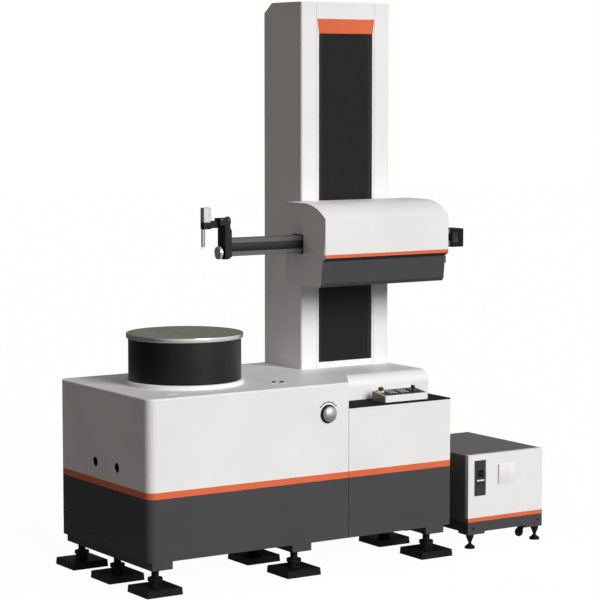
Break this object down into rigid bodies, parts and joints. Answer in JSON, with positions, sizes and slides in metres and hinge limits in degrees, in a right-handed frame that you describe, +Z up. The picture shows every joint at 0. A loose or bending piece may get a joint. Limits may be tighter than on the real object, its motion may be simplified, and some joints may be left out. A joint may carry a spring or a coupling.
{
  "type": "roundness measuring instrument",
  "caption": "Floor-standing roundness measuring instrument: rotary table on a covered base, column with a travelling head, horizontal arm and stylus, remote box and control cabinet.",
  "frame": {"origin": "Underside of the middle levelling foot, on the floor, at the middle of the base's width.", "axes": "+Z up, +X to the right along the base's front, +Y to the back. The control cabinet stands on the +X side."},
  "size_m": [2.0745, 0.8058, 2.405],
  "materials": {
    "white_paint": "semi-gloss white powder coat",
    "dark_paint": "dark grey powder coat",
    "black_paint": "black powder coat",
    "orange_paint": "satin orange",
    "grey_paint": "satin grey",
    "table_steel": "lapped steel",
    "steel": "ground steel",
    "bright_metal": "satin anodised",
    "guide_alloy": "machined",
    "casting": "painted casting",
    "band_steel": "dark steel band",
    "black_plastic": "matte black",
    "brown_plastic": "matte light grey",
    "key_rubber": "light grey membrane keys",
    "red_plastic": "gloss red",
    "electronics": "boards and supplies, as boxes",
    "wheel_rubber": "black tread"
  },
  "bodies": {
    "frame": {"base_frame": "black_paint", "bearing_housing": "casting", "bed": "casting", "cabinet_band": "orange_paint", "cabinet_base": "dark_paint", "cabinet_door": "white_paint", "cabinet_electronics": "electronics", "cabinet_feet": "black_paint", "cabinet_shell": "dark_paint", "column_casting": "casting", "column_cover_back": "white_paint", "column_cover_left": "white_paint", "column_cover_right": "white_paint", "column_front_frame": "white_paint", "column_header": "orange_paint", "cover_band": "band_steel", "cover_right": "white_paint", "drive_rod": "steel", "foot_jack_bodies": "black_paint", "foot_jack_screws": "black_paint", "foot_pads": "black_paint", "guide_rails": "steel", "knob_ring": "black_plastic", "remote_case": "brown_plastic", "remote_keys": "key_rubber", "skirt_left": "dark_paint", "skirt_right": "dark_paint", "switch_panel": "grey_paint", "table_collar": "white_paint", "table_drive": "casting", "tray_top": "black_paint", "trim_band": "orange_paint", "upper_cover": "white_paint"},
    "turntable": {"spindle": "steel", "table_disc": "table_steel", "table_drum": "black_paint"},
    "head": {"carriage": "steel", "arm_guide": "guide_alloy", "head_cover": "white_paint", "head_lower_cover": "dark_paint", "head_trim": "orange_paint", "head_end_left": "white_paint", "head_end_right": "white_paint"},
    "arm": {"arm": "grey_paint", "arm_end_block": "grey_paint", "probe_bracket": "black_paint"},
    "clamp_knob": {"clamp_knob": "bright_metal"},
    "detector": {"detector_holder": "black_paint", "detector_body": "bright_metal", "swivel_knob": "black_plastic"},
    "stylus": {"stylus": "bright_metal"},
    "regulator_knob": {"regulator_knob": "bright_metal"},
    "stop_button": {"stop_button": "red_plastic"},
    "joystick_gimbal": {"joystick_gimbal": "black_plastic"},
    "joystick": {"joystick": "black_plastic"},
    "breaker_toggle": {"breaker_toggle": "black_plastic"},
    "caster_fork_front": {"caster_fork_front": "black_paint"},
    "caster_wheel_front": {"caster_wheel_front": "wheel_rubber"},
    "caster_fork_rear": {"caster_fork_rear": "black_paint"},
    "caster_wheel_rear": {"caster_wheel_rear": "wheel_rubber"}
  },
  "joints": [
    {"name": "table_spin", "type": "hinge", "parent": "frame", "child": "turntable", "pos_m": [-0.364, -0.006, 0.994], "axis": [0, 0, 1], "continuous": true},
    {"name": "head_travel", "type": "slide", "parent": "frame", "child": "head", "axis": [0, 0, 1], "range_m": [-0.29, 0.75]},
    {"name": "arm_travel", "type": "slide", "parent": "head", "child": "arm", "axis": [1, 0, 0], "range_m": [-0.104, 0.296]},
    {"name": "clamp_knob_turn", "type": "hinge", "parent": "arm", "child": "clamp_knob", "pos_m": [-0.207, -0.0485, 1.343], "axis": [1, 0, 0], "continuous": true},
    {"name": "detector_swivel", "type": "hinge", "parent": "arm", "child": "detector", "pos_m": [-0.182, -0.006, 1.472], "axis": [1, 0, 0], "range_deg": [-90, 90]},
    {"name": "stylus_tilt", "type": "hinge", "parent": "detector", "child": "stylus", "pos_m": [-0.272, -0.006, 1.447], "axis": [0, 1, 0], "range_deg": [-3, 3], "stiffness_Nm_per_rad": 3},
    {"name": "regulator_turn", "type": "hinge", "parent": "frame", "child": "regulator_knob", "pos_m": [0.1115, -0.3843, 0.675], "axis": [0, 1, 0], "range_deg": [-50, 50]},
    {"name": "stop_press", "type": "slide", "parent": "frame", "child": "stop_button", "axis": [0, -0.1191, 0.9929], "range_m": [-0.004, 0], "stiffness_N_per_m": 600},
    {"name": "joystick_x", "type": "hinge", "parent": "frame", "child": "joystick_gimbal", "pos_m": [0.606, -0.2994, 0.72352], "axis": [1, 0, 0], "range_deg": [-18, 18], "stiffness_Nm_per_rad": 0.6},
    {"name": "joystick_y", "type": "hinge", "parent": "joystick_gimbal", "child": "joystick", "pos_m": [0.606, -0.2994, 0.72352], "axis": [0, 0.9929, 0.1191], "range_deg": [-18, 18], "stiffness_Nm_per_rad": 0.6},
    {"name": "breaker_throw", "type": "hinge", "parent": "frame", "child": "breaker_toggle", "pos_m": [0.9475, -0.336, 0.335], "axis": [1, 0, 0], "range_deg": [-20, 20]},
    {"name": "caster_swivel_front", "type": "hinge", "parent": "frame", "child": "caster_fork_front", "pos_m": [1.281, -0.232, 0.07], "axis": [0, 0, 1], "continuous": true},
    {"name": "caster_roll_front", "type": "hinge", "parent": "caster_fork_front", "child": "caster_wheel_front", "pos_m": [1.257, -0.232, 0.022], "axis": [0, 1, 0], "continuous": true},
    {"name": "caster_swivel_rear", "type": "hinge", "parent": "frame", "child": "caster_fork_rear", "pos_m": [1.281, 0.092, 0.07], "axis": [0, 0, 1], "continuous": true},
    {"name": "caster_roll_rear", "type": "hinge", "parent": "caster_fork_rear", "child": "caster_wheel_rear", "pos_m": [1.257, 0.092, 0.022], "axis": [0, 1, 0], "continuous": true}
  ]
}
